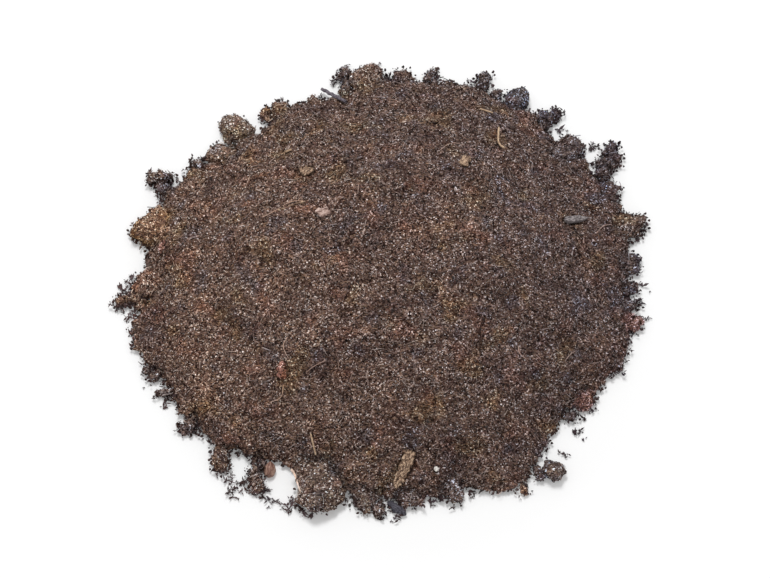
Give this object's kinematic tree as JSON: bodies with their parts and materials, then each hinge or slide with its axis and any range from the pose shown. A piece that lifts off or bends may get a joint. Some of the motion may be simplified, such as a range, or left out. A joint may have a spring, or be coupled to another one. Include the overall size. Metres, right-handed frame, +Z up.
{
  "type": "heap of terrarium substrate",
  "caption": "Low poured heap of dark peat substrate for a terrarium, with clods and crumbs round its rim and bark chips, straws and twigs on it.",
  "frame": {"origin": "on the surface that the heap lies on, under the middle of its outline's box", "axes": "+Z up, +X along the longer way of the heap, to the right in the front view, +Y away from the front"},
  "size_m": [0.2642, 0.2502, 0.0481],
  "materials": {
    "peat": "matt, damp and crumbly",
    "dark_peat": "matt and fibrous",
    "olive_peat": "matt and fibrous",
    "brown_peat": "matt and fibrous",
    "tan_peat": "matt and fibrous",
    "red_peat": "matt and fibrous",
    "bark": "matt and fibrous",
    "grey_bark": "matt and fibrous",
    "straw": "dull sheen",
    "twig": "matt and fibrous",
    "grit": "matt"
  },
  "bodies": {
    "root": {"brown_clod_right": "dark_peat", "round_clod_right": "olive_peat", "peat_lump_right": "dark_peat", "dark_cluster_right": "dark_peat", "mound_lump_right": "dark_peat", "crumb_cluster_back_right": "dark_peat", "round_clod_back_right": "dark_peat", "crumb_back_right": "dark_peat", "knob_back_right": "dark_peat", "dark_ledge_back": "dark_peat", "spiky_cluster_back": "dark_peat", "brown_clod_back": "brown_peat", "olive_clod_back": "olive_peat", "dark_cluster_back": "dark_peat", "peat_lump_back_left": "brown_peat", "brown_clod_back_left": "brown_peat", "orange_crumb_back_left": "tan_peat", "neck_lump_back_left": "olive_peat", "olive_clod_back_left": "olive_peat", "knob_left": "dark_peat", "dark_cluster_left": "dark_peat", "fibrous_clod_left": "tan_peat", "brown_clod_left": "brown_peat", "olive_cluster_left": "olive_peat", "dark_crumb_left": "dark_peat", "dark_cluster_low_left": "dark_peat", "crumb_string_low_left": "dark_peat", "grey_crumbs_front_left": "dark_peat", "olive_purple_clod": "olive_peat", "brown_seed": "red_peat", "dark_cluster_front": "dark_peat", "great_clod_front": "brown_peat", "peat_lump_front": "dark_peat", "dark_sliver_front": "dark_peat", "flat_lump_front": "dark_peat", "dark_stick_front": "twig", "crumbly_lump_front_right": "dark_peat", "orange_crumb_front_right": "tan_peat", "link_crumb_front_right": "dark_peat", "round_clod_front_right": "olive_peat", "shiny_crumb_front_right": "dark_peat", "red_brown_lump_right": "red_peat", "red_clod_right": "red_peat", "dark_lump_right": "dark_peat", "dark_clod_right": "dark_peat", "bark_chip_front": "bark", "bark_chip_left": "red_peat", "pink_flake_left": "bark", "red_flake_left": "red_peat", "tan_flake_back": "bark", "ochre_flake_left": "bark", "grey_chip_right": "grey_bark", "twig_back": "twig", "straw_back_right": "straw", "straw_back": "straw", "straw_left": "straw", "straw_front_left": "straw", "root_left": "bark", "white_grit_front": "grit", "peat_mound": "peat"}
  },
  "joints": []
}
